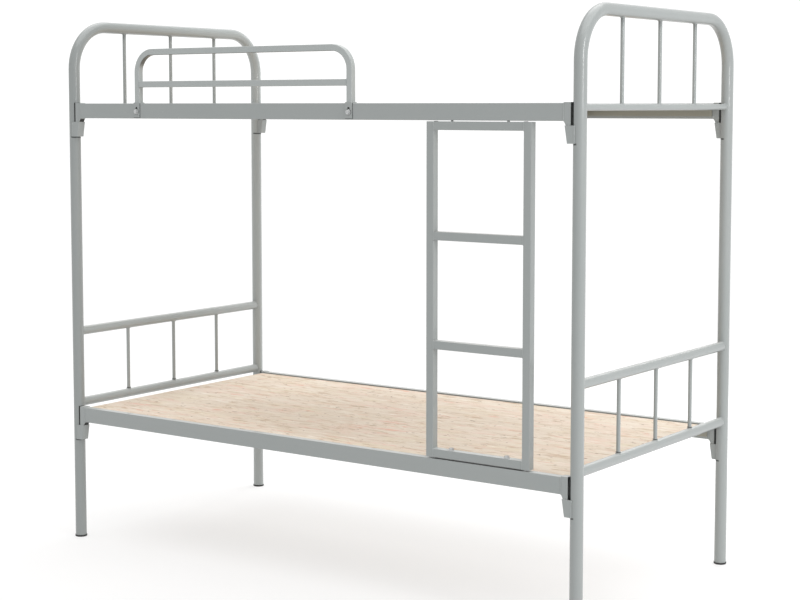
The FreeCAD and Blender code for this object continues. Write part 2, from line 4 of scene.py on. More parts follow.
import bmesh
import bpy
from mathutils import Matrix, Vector


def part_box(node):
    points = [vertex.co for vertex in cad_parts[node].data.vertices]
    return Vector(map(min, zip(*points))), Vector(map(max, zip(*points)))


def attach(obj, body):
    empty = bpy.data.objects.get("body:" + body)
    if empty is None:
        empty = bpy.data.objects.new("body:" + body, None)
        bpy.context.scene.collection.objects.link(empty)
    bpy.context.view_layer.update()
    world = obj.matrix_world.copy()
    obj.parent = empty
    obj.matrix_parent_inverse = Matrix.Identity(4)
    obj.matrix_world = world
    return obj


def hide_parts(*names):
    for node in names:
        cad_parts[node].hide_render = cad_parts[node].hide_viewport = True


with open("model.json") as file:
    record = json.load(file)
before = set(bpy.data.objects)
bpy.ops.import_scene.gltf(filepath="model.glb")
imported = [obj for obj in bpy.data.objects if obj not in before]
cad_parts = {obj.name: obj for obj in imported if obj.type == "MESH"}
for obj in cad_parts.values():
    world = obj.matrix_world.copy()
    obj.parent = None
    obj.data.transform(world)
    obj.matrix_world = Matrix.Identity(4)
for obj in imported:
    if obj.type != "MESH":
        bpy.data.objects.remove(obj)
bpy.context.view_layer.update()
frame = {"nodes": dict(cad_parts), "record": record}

# A steel bunk bed in grey stove enamel: finishes for every welded piece, weld beads at the
# joints, flanged bolts, plywood boards and moulded feet. Metres, +Z up, the ladder on -Y.

SIDES = (("left", -1), ("right", 1))
FACES = (("front", -1), ("back", 1))
DECKS = ("lower", "upper")


def middle(node):
    low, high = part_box(node)
    return (low + high) / 2


def half(node):
    low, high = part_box(node)
    return (high - low) / 2


# ---------------------------------------------------------------- writing node trees
class Signal:
    """One output of a node. Arithmetic on it adds Math nodes to the same tree."""

    def __init__(self, tree, socket):
        self.tree = tree
        self.socket = socket

    def math(self, operation, *values):
        return self.tree.node("ShaderNodeMath", {"operation": operation}, dict(enumerate(values)))

    def __add__(self, other):
        return self.math("ADD", self, other)

    def __radd__(self, other):
        return self.math("ADD", other, self)

    def __sub__(self, other):
        return self.math("SUBTRACT", self, other)

    def __rsub__(self, other):
        return self.math("SUBTRACT", other, self)

    def __mul__(self, other):
        return self.math("MULTIPLY", self, other)

    def __rmul__(self, other):
        return self.math("MULTIPLY", other, self)

    def __truediv__(self, other):
        return self.math("DIVIDE", self, other)

    def __abs__(self):
        return self.math("ABSOLUTE", self)

    def fraction(self):
        return self.math("FRACT", self)


class NodeTree:
    """A shader or geometry tree that is written one node at a time."""

    def __init__(self, tree):
        self.tree = tree

    def node(self, kind, settings=None, inputs=None, output=0):
        """Adds a node: its settings first, then what its sockets hold or are linked to."""
        made = self.tree.nodes.new(kind)
        for name, value in (settings or {}).items():
            if name == "stops":
                self.set_stops(made.color_ramp, value)
            else:
                setattr(made, name, value)
        for key, value in (inputs or {}).items():
            self.feed(self.pick(made.inputs, key), value)
        return Signal(self, self.pick(made.outputs, output))

    @staticmethod
    def pick(sockets, key):
        """A socket that is in use, by its place among them or by its name."""
        used = [socket for socket in sockets if socket.enabled]
        return used[key] if isinstance(key, int) else next(s for s in used if s.name == key)

    @staticmethod
    def set_stops(ramp, stops):
        while len(ramp.elements) < len(stops):
            ramp.elements.new(1.0)
        for element, (position, colour) in zip(ramp.elements, stops):
            element.position = position
            element.color = (*colour, 1.0)

    def feed(self, socket, value):
        if isinstance(value, Signal):
            self.tree.links.new(value.socket, socket)
        elif socket.type == "RGBA" and len(value) == 3:
            socket.default_value = (*value, 1.0)
        else:
            socket.default_value = value


class Finish(NodeTree):
    """A surface finish: one material with its pattern nodes."""

    def __init__(self, name):
        self.material = bpy.data.materials.new(name)
        self.material.use_nodes = True
        super().__init__(self.material.node_tree)
        self.shader = self.tree.nodes["Principled BSDF"]
        self.place = self.node("ShaderNodeTexCoord", output="Object")

    def set(self, **sockets):
        """Sets or links the surface shader's own sockets, named with underscores."""
        for name, value in sockets.items():
            self.feed(self.shader.inputs[name.replace("_", " ")], value)

    def along(self, axis):
        return self.node("ShaderNodeSeparateXYZ", {}, {0: self.place}, axis)

    def facing(self, axis):
        """How far the surface faces along an axis of the bed, from -1 to 1."""
        normal = self.node("ShaderNodeTexCoord", output="Normal")
        return self.node("ShaderNodeSeparateXYZ", {}, {0: normal}, axis)

    def stretched(self, x, y, z):
        return self.node("ShaderNodeMapping", {}, {"Vector": self.place, "Scale": (x, y, z)})

    def noise(self, where, scale, detail=2.0, roughness=0.5, distortion=0.0):
        return self.node("ShaderNodeTexNoise", {}, {
            "Vector": where, "Scale": scale, "Detail": detail, "Roughness": roughness,
            "Distortion": distortion})

    def step(self, value, low, high):
        """0 below low, 1 above high and a smooth rise between."""
        return self.node("ShaderNodeMapRange", {"interpolation_type": "SMOOTHSTEP"}, {
            "Value": value, "From Min": low, "From Max": high})

    def band(self, value, low, high, soft):
        """1 between low and high, falling to 0 over a soft margin outside them."""
        return self.step(value, low - soft, low) * self.step(value, high + soft, high)

    def blend(self, amount, first, second):
        return self.node("ShaderNodeMix", {"data_type": "RGBA"}, {
            "Factor": amount, "A": first, "B": second})

    def scaled(self, colour, amount):
        return self.node("ShaderNodeVectorMath", {"operation": "SCALE"}, {
            "Vector": colour, "Scale": amount})

    def ramp(self, value, *stops):
        return self.node("ShaderNodeValToRGB", {"stops": stops}, {"Fac": value})

    def edges(self, radius, full):
        """1 along sharp edges, 0 on open faces. full is the turn that counts in full."""
        rounded = self.node("ShaderNodeBevel", {"samples": 4}, {"Radius": radius})
        flat = self.node("ShaderNodeNewGeometry", output="Normal")
        agree = self.node("ShaderNodeVectorMath", {"operation": "DOT_PRODUCT"},
                          {0: rounded, 1: flat}, "Value")
        return self.step(1 - agree, 0.01, full)

    def bump(self, height, distance, strength=1.0):
        return self.node("ShaderNodeBump", {}, {
            "Strength": strength, "Distance": distance, "Height": height})


# ---------------------------------------------------------------- finishes
# Colours are linear red, green and blue.
GREY_DEEP = (0.262, 0.288, 0.284)
GREY_FULL = (0.294, 0.312, 0.310)
GREY_PATCH = (0.318, 0.330, 0.322)
GREY_RUBBED = (0.42, 0.43, 0.42)
GREY_PINHOLE = (0.19, 0.20, 0.195)
GREY_EDGE_WEAR_AND_HIGHLIGHT = (0.46, 0.48, 0.47)
GREY_PAINTED_UNDERSIDE_SHADE = (0.12, 0.125, 0.12)
DUST_AND_TOP_LIGHT = (0.56, 0.58, 0.57)
PAINTED_SHADE_DARK = (0.014, 0.013, 0.012)
CLEAR_COAT = 0.55

VENEER_DULL = (0.650, 0.560, 0.460)
VENEER_PLAIN = (0.700, 0.615, 0.515)
VENEER_BRIGHT = (0.735, 0.660, 0.570)
VENEER_STRAW = (0.70, 0.62, 0.465)
VENEER_ROSE = (0.72, 0.545, 0.46)
VENEER_RING = (0.58, 0.45, 0.33)
VENEER_VEIN = (0.52, 0.39, 0.25)
VENEER_CREAM = (0.86, 0.81, 0.74)
VENEER_FIBRE = (0.50, 0.38, 0.28)
VENEER_SHEEN = (0.85, 0.79, 0.70)
VENEER_DASH = (0.43, 0.29, 0.17)
VENEER_EMBER = (0.66, 0.30, 0.20)
VENEER_FLECK = (0.20, 0.10, 0.055)
VENEER_PAINTED_DARK = (0.34, 0.26, 0.18)
PLY_ALONG = (0.52, 0.40, 0.29)
PLY_ACROSS = (0.30, 0.21, 0.14)
PLY_CRUMB = (0.24, 0.16, 0.10)
LAYERS_PER_METRE = 583.0


def stove_enamel(name, tone=1.0, painted_light_lean=0.0, weld=False, painted_shade=None):
    """Grey powder coat: fine orange peel, slow clouding and a few rubs. Sharp edges are lighter,
    as thin paint and as painted highlight; faces that look up are lighter, with dust and with
    painted top light; faces that look down are darker with painted shade.

    tone is how light one batch came out, as one factor or one for each of red, green and
    blue; on some pieces it is painted light or shade instead, as noted where they are made.
    A lean is painted light: how much lighter it gets per metre towards the back. The last
    argument, if given, is a function of the finish: how much painted shade, in a dark steel
    colour, lies on each place.
    """
    tones = tone if isinstance(tone, tuple) else (tone, tone, tone)

    def shade(colour):
        return tuple(factor * part for factor, part in zip(tones, colour))

    coat = Finish(name)
    cloud = coat.noise(coat.place, 2.3, 3.0)
    patch = coat.noise(coat.place, 17.0, 4.0, 0.6)
    peel = coat.noise(coat.place, 480.0, 2.0, 0.5)
    pin = coat.step(coat.noise(coat.place, 2100.0, 1.0), 0.70, 0.78)
    handled = coat.step(coat.noise(coat.place, 7.0, 3.0, 0.6), 0.56, 0.70)
    hair = coat.noise(coat.stretched(60.0, 900.0, 260.0), 1.0, 3.0, 0.6)
    rub = coat.step(hair, 0.62, 0.70) * handled
    # thin paint and painted highlight: sharp edges are lightened, partly as wear, partly standing
    # in for the light that edges catch
    edge = coat.edges(0.0016, 0.22)
    # dust and painted top light: faces that look up are lightened, partly as dust, partly
    # standing in for the light from above
    dust_and_top_light = coat.step(coat.facing("Z"), 0.70, 0.97) * (0.45 + patch * 0.4)
    # painted shade: faces that look down are darkened, standing in for the shade under each tube
    under = coat.step(coat.facing("Z"), -0.30, -0.90)
    grey = coat.blend(cloud, shade(GREY_DEEP), shade(GREY_FULL))
    grey = coat.blend(patch * 0.35, grey, shade(GREY_PATCH))
    grey = coat.blend(rub * 0.22, grey, shade(GREY_RUBBED))
    grey = coat.blend(pin * 0.25, grey, shade(GREY_PINHOLE))
    grey = coat.blend(edge * 0.42, grey, shade(GREY_EDGE_WEAR_AND_HIGHLIGHT))
    grey = coat.blend(under * 0.36, grey, shade(GREY_PAINTED_UNDERSIDE_SHADE))
    grey = coat.blend(dust_and_top_light, grey, DUST_AND_TOP_LIGHT)
    # painted light: the enamel is made lighter towards the back, standing in for light that falls
    # more on the back legs
    if painted_light_lean:
        grey = coat.scaled(grey, 1 + coat.along("Y") * painted_light_lean)
    height = peel * 0.6 + patch * 0.3 + pin * -0.4
    distance = 0.00008
    if weld:
        height = height + coat.noise(coat.place, 340.0, 3.0, 0.6) * 2.0
        distance = 0.0005
    # painted shade: where the given mask says, the enamel turns to dark metal, standing in for
    # shade in hollows, gaps and under parts
    if painted_shade:
        shade_amount = painted_shade(coat)
        grey = coat.blend(shade_amount, grey, PAINTED_SHADE_DARK)
        coat.set(Metallic=shade_amount, Coat_Weight=CLEAR_COAT * (1 - shade_amount))
    else:
        coat.set(Coat_Weight=CLEAR_COAT)
    coat.set(Base_Color=grey,
             Roughness=0.34 + cloud * 0.10 + rub * 0.18 - edge * 0.06 + dust_and_top_light * 0.15,
             Normal=coat.bump(height, distance, 0.5), Coat_Roughness=0.07, Coat_IOR=1.5)
    return coat.material


SHEET = 0.002            # the folded sheet of the hooks
LIP_WIDTH = 0.0036       # the painted dark edge of a hook's inner sheet
LIP_FULL = 0.0026        # and how much of it is dark in full
STRIP_FULL = 0.0134      # how far in from its axis a post's strip of painted shade is dark in full
STRIP_EDGE = 0.0112      # and where that strip begins
SOCKET_CREVICE = 0.0035  # the painted shadow line under a socket
ROD_TOP_SHADOW = 0.030        # how far down a rod the painted shadow under the arch reaches
ROD_TOP_SHADOW_FULL = 0.004        # and how far down it is dark in full
OUTLINE = 0.0012         # the painted shadow line round a bracket or bolt
BLUR = 0.0008            # how softly a dark line ends


def across_hooks(coat):
    """1 across the width of the hooks between their two sheets."""
    low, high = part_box("lower_back_hooks")
    centre, inside = (low.y + high.y) / 2, (high.y - low.y) / 2 - SHEET
    return coat.step(abs(abs(coat.along("Y")) - centre), inside + 0.0001, inside - BLUR)


def inside_hooks(coat):
    """Painted shade in the hollow of the folded hooks, under their roof, and on the edge of their
    inner sheet.
    """
    x, web = abs(coat.along("X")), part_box("lower_back_rail")[1].x
    past_web = coat.step(x, web + 0.4 * SHEET, web + 0.8 * SHEET)
    hollow = past_web * across_hooks(coat) * coat.step(coat.facing("Z"), 0.8, 0.4) * 0.9
    lip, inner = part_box("lower_back_hooks")[1].x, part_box("lower_back_hooks")[0].y
    edge = (coat.step(x, lip - LIP_WIDTH, lip - LIP_FULL)
            * coat.step(abs(coat.along("Y")), inner + 0.0010, inner + 0.0004) * 0.9)
    return hollow.math("MAXIMUM", hollow, edge)


def behind_hooks(coat):
    """Painted shade on the strip of each post that the hooks close in, and a painted shadow line
    under each socket.
    """
    post, x = middle("right_back_foot"), abs(coat.along("X"))
    closed_in = coat.step(x, post.x - STRIP_EDGE, post.x - STRIP_FULL) * across_hooks(coat)
    round_front = coat.step(x, post.x + SHEET, post.x - 2 * SHEET)
    masks = []
    for deck in DECKS:
        low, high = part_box(f"{deck}_back_hooks")
        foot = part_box(f"right_back_{deck}_socket")[0].z
        hook = coat.band(coat.along("Z"), low.z, high.z, 0.0015)
        crevice = coat.band(coat.along("Z"), foot - SOCKET_CREVICE, foot, 0.0015)
        masks.append(hook * closed_in + crevice * round_front * 0.8)
    return masks[0] + masks[1]


def behind_brackets(coat):
    """Painted shade on the rail behind the guard's brackets, seen in their slots and as a thin
    shadow outline.
    """
    left, right = middle("guard_left_bracket"), middle("guard_right_bracket")
    size = half("guard_left_bracket")
    across = abs(abs(coat.along("X") - (left.x + right.x) / 2) - (right.x - left.x) / 2)
    foot = left.z - size.z - OUTLINE
    return (coat.step(across, size.x + OUTLINE + BLUR, size.x + OUTLINE)
            * coat.step(coat.along("Z"), foot - BLUR, foot)
            * coat.step(coat.facing("Y"), -0.4, -0.8) * 0.8)


def round_bolts(coat):
    """Painted shadow in a ring round each of the guard's bolts."""
    left, right = middle("guard_left_bracket"), middle("guard_right_bracket")
    across = abs(coat.along("X") - (left.x + right.x) / 2) - (right.x - left.x) / 2
    up = coat.along("Z") - middle("guard_bolts").z
    squared = across * across + up * up
    reach = squared.math("SQRT", squared)
    ring = half("guard_bolts").z + OUTLINE
    return coat.step(reach, ring + 0.0006, ring - 0.0005) * 0.8


def inside_bends(coat):
    """Painted shade on the underside of the hoop's bends and top."""
    return coat.step(coat.facing("Z"), -0.15, -0.60) * 0.6


def under_ladder(coat):
    """Painted shadow on the top of the lower rail where the ladder stands over it."""
    low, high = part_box("ladder_rung_1")
    width = coat.band(coat.along("X"), low.x, high.x, 0.004)
    level = coat.band(coat.along("Z"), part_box("lower_front_rail")[1].z, low.z, 0.0004)
    return width * level * coat.step(coat.along("Y"), high.y + 0.003, high.y - 0.002) * 0.85


def below_arch(coat):
    """Painted shadow on the top of each rod, where it is welded under the arch."""
    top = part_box("left_upper_rod_middle")[1].z
    return coat.step(coat.along("Z"), top - ROD_TOP_SHADOW, top - ROD_TOP_SHADOW_FULL) * 0.30


def plywood(name, painted_dimming=0.0):
    """Rotary-cut poplar veneer along the bed: cream and rose, short dashes, layered edges.

    The darkening, if given, is painted shade: how far the face is darkened towards brown, to take
    the glare off a board in full light.
    """
    wood = Finish(name)
    wide = wood.noise(wood.stretched(2.6, 15.0, 1.0), 1.0, 3.0, 0.55, 1.2)
    fibre = wood.noise(wood.stretched(22.0, 420.0, 30.0), 1.0, 4.0, 0.62)
    vein = wood.noise(wood.stretched(9.0, 80.0, 10.0), 1.0, 4.0, 0.62, 1.0)
    dash = wood.noise(wood.stretched(14.0, 72.0, 10.0), 1.0, 3.0, 0.58, 0.6)
    ember = wood.noise(wood.stretched(10.0, 62.0, 20.0), 1.0, 3.0, 0.6, 0.8)
    spot = wood.noise(wood.stretched(34.0, 92.0, 30.0), 1.0, 2.0, 0.5, 0.3)
    blush = wood.step(wood.noise(wood.stretched(4.4, 14.0, 2.0), 1.0, 3.0, 0.6, 0.8), 0.48, 0.66)
    straw = wood.step(wood.noise(wood.stretched(5.6, 17.0, 5.0), 1.0, 3.0, 0.6, 0.8), 0.50, 0.68)
    ring = abs((wide * 9.0).fraction() - 0.5) * 2.0
    face = wood.ramp(wide, (0.32, VENEER_DULL), (0.50, VENEER_PLAIN), (0.70, VENEER_BRIGHT))
    face = wood.blend(straw * 0.50, face, VENEER_STRAW)
    face = wood.blend(blush * 0.45, face, VENEER_ROSE)
    face = wood.blend(wood.step(ring, 0.78, 1.0) * 0.16, face, VENEER_RING)
    face = wood.blend(wood.step(vein, 0.55, 0.66) * 0.50, face, VENEER_VEIN)
    face = wood.blend(wood.step(dash, 0.40, 0.28) * 0.65, face, VENEER_CREAM)
    face = wood.blend(wood.step(fibre, 0.50, 0.80) * 0.30, face, VENEER_FIBRE)
    face = wood.blend(wood.step(fibre, 0.50, 0.22) * 0.25, face, VENEER_SHEEN)
    face = wood.blend(wood.step(dash, 0.58, 0.66) * 0.66, face, VENEER_DASH)
    face = wood.blend(wood.step(ember, 0.59, 0.66) * (0.26 + blush * 0.5), face, VENEER_EMBER)
    fleck = wood.step(spot, 0.685, 0.72)
    face = wood.blend(fleck * 0.85, face, VENEER_FLECK)
    # painted shade: the face is darkened towards brown by the given amount
    face = wood.blend(painted_dimming, face, VENEER_PAINTED_DARK)
    layer = (wood.along("Z") * LAYERS_PER_METRE).fraction()
    crumb = wood.noise(wood.stretched(260.0, 260.0, 700.0), 1.0, 3.0, 0.6)
    plies = wood.blend(wood.step(layer, 0.44, 0.56), PLY_ALONG, PLY_ACROSS)
    plies = wood.blend(wood.step(crumb, 0.48, 0.70) * 0.5, plies, PLY_CRUMB)
    level = wood.step(abs(wood.facing("Z")), 0.4, 0.6)
    wood.set(Base_Color=wood.blend(level, plies, face),
             Roughness=0.52 + fibre * 0.22,
             Normal=wood.bump(fibre * 0.7 + vein * 0.3 + fleck * -1.2, 0.00035, 0.45),
             Specular_IOR_Level=0.35)
    return wood.material


def moulded_black(name):
    """Black polypropylene with a spark-eroded mould texture and grey floor scuffs."""
    resin = Finish(name)
    grain = resin.noise(resin.place, 1900.0, 2.0, 0.6)
    scuff = resin.step(resin.noise(resin.stretched(90.0, 90.0, 700.0), 1.0, 3.0, 0.6), 0.60, 0.72)
    edge = resin.edges(0.0012, 0.25)
    black = resin.blend(grain, (0.012, 0.012, 0.013), (0.026, 0.026, 0.027))
    black = resin.blend(scuff * 0.35, black, (0.10, 0.10, 0.10))
    black = resin.blend(edge * 0.30, black, (0.085, 0.085, 0.085))
    resin.set(Base_Color=black, Roughness=0.48 + grain * 0.16 + scuff * 0.12,
              Normal=resin.bump(grain, 0.0002, 0.4))
    return resin.material


def bright_zinc(name):
    """Clear passivated zinc plate: bluish, faintly clouded, brushed by the tooling, with a
    painted highlight along its edges.
    """
    plate = Finish(name)
    cloud = plate.noise(plate.place, 190.0, 3.0, 0.6)
    brush = plate.noise(plate.stretched(500.0, 500.0, 4200.0), 1.0, 2.0, 0.6)
    stain = plate.step(plate.noise(plate.place, 420.0, 2.0), 0.60, 0.74)
    edge = plate.edges(0.0005, 0.25)
    metal = plate.blend(cloud, (0.42, 0.44, 0.46), (0.62, 0.62, 0.60))
    metal = plate.blend(stain * 0.45, metal, (0.20, 0.19, 0.17))
    # painted highlight: edges are lightened, standing in for the glints they catch
    metal = plate.blend(edge * 0.6, metal, (0.86, 0.86, 0.85))
    plate.set(Base_Color=metal, Metallic=1.0, Roughness=0.26 + brush * 0.14 + stain * 0.2,
              Normal=plate.bump(brush, 0.00006, 0.4))
    return plate.material


enamel = stove_enamel("stove_enamel")
bead_enamel = stove_enamel("stove_enamel_on_welds", tone=1.10, weld=True)
# painted shadow: a very dark enamel for the rings at the rods' feet, standing in for the shadow
# line there
ring_shadow_enamel = stove_enamel("thin_enamel_on_burnt_welds", tone=0.22, weld=True)
zinc = bright_zinc("bright_zinc")
FINISHES = {"grey_paint": enamel, "plywood": plywood("poplar_plywood"),
            "black_plastic": moulded_black("moulded_black"), "zinc_steel": zinc}
# painted light: the left crossbars are made lighter, standing in for side light falling on them
left_painted_lighter_enamel = stove_enamel("stove_enamel_on_left_crossbars", tone=1.12)
ladder_enamel = stove_enamel("stove_enamel_on_the_ladder", tone=0.97)
# The first of these words that a node's name holds picks its batch of enamel or board, or a copy
# of it that paints light or shade.
BATCHES = {"hooks": stove_enamel("stove_enamel_on_hooks", painted_shade=inside_hooks),
           # painted light: the left arch is made lighter overall and lighter still towards the
           # back, where its back leg is better lit
           "left_arch": stove_enamel("stove_enamel_on_the_left_arch", tone=1.06, painted_light_lean=0.30,
                                     painted_shade=behind_hooks),
           # painted light: a slight lean lighter towards the back
           "right_arch": stove_enamel("stove_enamel_on_the_right_arch", painted_light_lean=0.06,
                                      painted_shade=behind_hooks),
           "left_lower": left_painted_lighter_enamel, "left_middle": left_painted_lighter_enamel,
           "upper_rod": stove_enamel("stove_enamel_on_upper_rods", painted_shade=below_arch),
           "lower_front_rail": stove_enamel("stove_enamel_on_the_lower_rail",
                                            painted_shade=under_ladder),
           "upper_front_rail": stove_enamel("stove_enamel_on_the_upper_rail",
                                            painted_shade=behind_brackets),
           # painted shade and reflection: the ledges are darkened and warmed, standing in for
           # shade under the board and the brown light it reflects
           "ledges": stove_enamel("stove_enamel_on_ledges", tone=(0.96, 0.88, 0.74)),
           "hoop": stove_enamel("stove_enamel_on_the_hoop", tone=1.25, painted_shade=inside_bends),
           "guard_bar": stove_enamel("stove_enamel_on_the_guard_bar", tone=1.22),
           "bracket": stove_enamel("stove_enamel_on_brackets", painted_shade=round_bolts),
           "stile": ladder_enamel, "rung": ladder_enamel,
           # painted shade: the upper board is made darker, as it stands in full light
           "upper_board": plywood("aged_poplar_plywood", painted_dimming=0.30)}
for part in frame["record"]["subparts"]:
    batch = next((BATCHES[word] for word in BATCHES if word in part["node"]), None)
    for holder in frame["nodes"][part["node"]].material_slots:
        holder.material = batch or FINISHES[part["material_slot"]]


# ---------------------------------------------------------------- geometry node trees
class Builder(NodeTree):
    """A Geometry Nodes tree with named inputs, run once on a carrier object."""

    def __init__(self, name, **sockets):
        super().__init__(bpy.data.node_groups.new(name, "GeometryNodeTree"))
        face = self.tree.interface
        face.new_socket("Geometry", in_out="INPUT", socket_type="NodeSocketGeometry")
        face.new_socket("Geometry", in_out="OUTPUT", socket_type="NodeSocketGeometry")
        self.keys = {}
        for label, kind in sockets.items():
            made = face.new_socket(label.replace("_", " "), in_out="INPUT",
                                   socket_type=f"NodeSocket{kind}")
            self.keys[label] = made.identifier
        self.entry = self.tree.nodes.new("NodeGroupInput")

    def given(self, label):
        return Signal(self, self.pick(self.entry.outputs, label.replace("_", " ")))

    def end(self, geometry):
        """Every tree ends in real geometry with its material set."""
        whole = self.node("GeometryNodeRealizeInstances", {}, {0: geometry})
        painted = self.node("GeometryNodeSetMaterial", {}, {
            "Geometry": whole, "Material": self.given("Material")})
        leave = self.tree.nodes.new("NodeGroupOutput")
        self.feed(leave.inputs[0], painted)

    def run(self, carrier, name, **values):
        """Evaluates the tree on the carrier and returns the result as a plain mesh object."""
        modifier = carrier.modifiers.new("build", "NODES")
        modifier.node_group = self.tree
        for label, value in values.items():
            modifier[self.keys[label]] = value
        depsgraph = bpy.context.evaluated_depsgraph_get()
        mesh = bpy.data.meshes.new_from_object(carrier.evaluated_get(depsgraph))
        carrier.modifiers.remove(modifier)
        bpy.data.objects.remove(carrier)
        mesh.name = name
        return add_object(name, mesh)


def add_object(name, mesh):
    made = bpy.data.objects.new(name, mesh)
    bpy.context.scene.collection.objects.link(made)
    return made


def bead_builder():
    """Sweeps a rippled, slightly uneven weld bead along every path of the carrier."""
    tree = Builder("weld_bead", Bead_Radius="Float", Ripple_Length="Float",
                   Ripple_Depth="Float", Unevenness="Float", Seed="Float",
                   Material="Material")
    path = tree.node("GeometryNodeMeshToCurve", {}, {"Mesh": tree.given("Geometry")})
    path = tree.node("GeometryNodeResampleCurve", {"mode": "LENGTH"}, {
        "Curve": path, "Length": tree.given("Ripple_Length") / 3})
    run = tree.node("GeometryNodeSplineParameter", output="Length")
    phase = run / tree.given("Ripple_Length") * (2 * math.pi)
    wave = phase.math("SINE", phase)
    here = tree.node("GeometryNodeInputPosition")
    wander = tree.node("ShaderNodeTexNoise", {"noise_dimensions": "4D"}, {
        "Vector": here, "W": tree.given("Seed"), "Scale": 160.0, "Detail": 2.0})
    size = 1 + wave * tree.given("Ripple_Depth") + (wander - 0.5) * tree.given("Unevenness")
    ring = tree.node("GeometryNodeCurvePrimitiveCircle", {"mode": "RADIUS"}, {
        "Resolution": 8, "Radius": tree.given("Bead_Radius")})
    bead = tree.node("GeometryNodeCurveToMesh", {}, {
        "Curve": path, "Profile Curve": ring, "Scale": size, "Fill Caps": True})
    bead = tree.node("GeometryNodeSetShadeSmooth", {}, {"Geometry": bead})
    tree.end(bead)
    return tree


def bolt_builder():
    """Puts a bolt from a set on every point, turned to the point's own direction."""
    tree = Builder("bolts_at_points", Bolts="Collection", Seed="Int", Material="Material")
    choice = tree.node("GeometryNodeCollectionInfo", {}, {
        "Collection": tree.given("Bolts"), "Separate Children": True, "Reset Children": True})
    way = tree.node("GeometryNodeInputNamedAttribute", {"data_type": "FLOAT_VECTOR"},
                    {"Name": "way"})
    kind = tree.node("GeometryNodeInputNamedAttribute", {"data_type": "INT"}, {"Name": "kind"})
    turn = tree.node("FunctionNodeRandomValue", {"data_type": "FLOAT"}, {
        "Min": 0.0, "Max": math.pi / 3, "Seed": tree.given("Seed")})
    spin = tree.node("ShaderNodeCombineXYZ", {}, {"Z": turn})
    rotation = tree.node("FunctionNodeAlignRotationToVector", {"axis": "Z"}, {"Vector": way})
    rotation = tree.node("FunctionNodeRotateRotation", {"rotation_space": "LOCAL"}, {
        "Rotation": rotation, "Rotate By": spin})
    bolts = tree.node("GeometryNodeInstanceOnPoints", {}, {
        "Points": tree.given("Geometry"), "Instance": choice, "Pick Instance": True,
        "Instance Index": kind, "Rotation": rotation})
    tree.end(bolts)
    return tree


# ---------------------------------------------------------------- weld beads
RING_LIFT = 0.0045          # a dark ring of painted shadow above the middle of its bead
TUBE_CORNER = 0.002         # the outer corners of the small box tubes
RAIL_CORNER = 0.0025        # and of the rails
LEDGE_STITCHES = 8          # short welds along a ledge
STITCH_SPACING = 0.235
BEARERS = 4                 # cross tubes under a board
BEARER_SPACING = 0.32
RIPPLE_LENGTH = 0.0036


class Seams:
    """Weld paths, kept as the edges of one mesh."""

    def __init__(self):
        self.points = []
        self.edges = []

    def line(self, points):
        start = len(self.points)
        self.points.extend(points)
        self.edges.extend((start + i, start + i + 1) for i in range(len(points) - 1))

    def loop(self, points):
        start = len(self.points)
        self.line(points)
        self.edges.append((len(self.points) - 1, start))

    def carrier(self, name):
        mesh = bpy.data.meshes.new(name)
        mesh.from_pydata([tuple(point) for point in self.points], self.edges, [])
        return add_object(name, mesh)


def saddle(centre, tube_radius, host_radius, along, toward, count=36):
    """Where a round tube, run along one axis, meets a host tube on another axis.

    along is the tube's axis letter, toward its sign, and centre a point on the host's axis.
    """
    points = []
    for index in range(count):
        angle = 2 * math.pi * index / count
        side, other = tube_radius * math.cos(angle), tube_radius * math.sin(angle)
        reach = toward * math.sqrt(host_radius ** 2 - side ** 2)
        offset = (side, reach, other) if along == "y" else (side, other, reach)
        points.append(centre + Vector(offset))
    return points


def frame_loop(centre, axis, width, height, corner, per_side=3):
    """A rounded rectangle about a centre, square to an axis: where a box tube ends."""
    points = []
    for turn, (across, up) in enumerate(((1, 1), (-1, 1), (-1, -1), (1, -1))):
        for step in range(per_side + 1):
            angle = math.pi / 2 * (turn + step / per_side)
            u = across * (width - corner) + corner * math.cos(angle)
            v = up * (height - corner) + corner * math.sin(angle)
            points.append(centre + Vector((0, u, v) if axis == "x" else (u, v, 0)))
    return points


def rod_seams(flares, rings, rod, host, host_radius, toward):
    """A flared bead on the host tube and, at a lower rod's foot, a dark ring of painted shadow
    above it.
    """
    centre, radius = middle(rod), half(rod).x
    on_host = Vector((centre.x, centre.y, host))
    flares.loop(saddle(on_host, radius + 0.0006, host_radius - 0.0004, "z", toward, 24))
    if toward > 0 and "lower" in rod:
        lift = Vector((0, 0, RING_LIFT))
        rings.loop([point + lift for point in saddle(on_host, radius, host_radius, "z", 1, 24)])


def end_frame_seams(seams, rings, side):
    """Beads where the crossbars meet the posts and where the rods meet what holds them."""
    post_radius = half(f"{side}_arch_tube").x
    arch_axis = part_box(f"{side}_arch_tube")[1].z - post_radius
    bars = {name: f"{side}_{name}_crossbar" for name in ("lower", "middle", "upper")}
    for node in bars.values():
        for face, face_sign in FACES:
            foot = middle(f"{side}_{face}_foot")
            centre = Vector((foot.x, foot.y, middle(node).z))
            seams.loop(saddle(centre, half(node).z, post_radius, "y", -face_sign))
    for panel, low, high in (("lower", "lower", "middle"), ("upper", "upper", None)):
        top, top_radius = arch_axis, post_radius
        if high:
            top, top_radius = middle(bars[high]).z, half(bars[high]).z
        for place in ("front", "middle", "back"):
            rod = f"{side}_{panel}_rod_{place}"
            rod_seams(seams, rings, rod, middle(bars[low]).z, half(bars[low]).z, 1)
            rod_seams(seams, rings, rod, top, top_radius, -1)


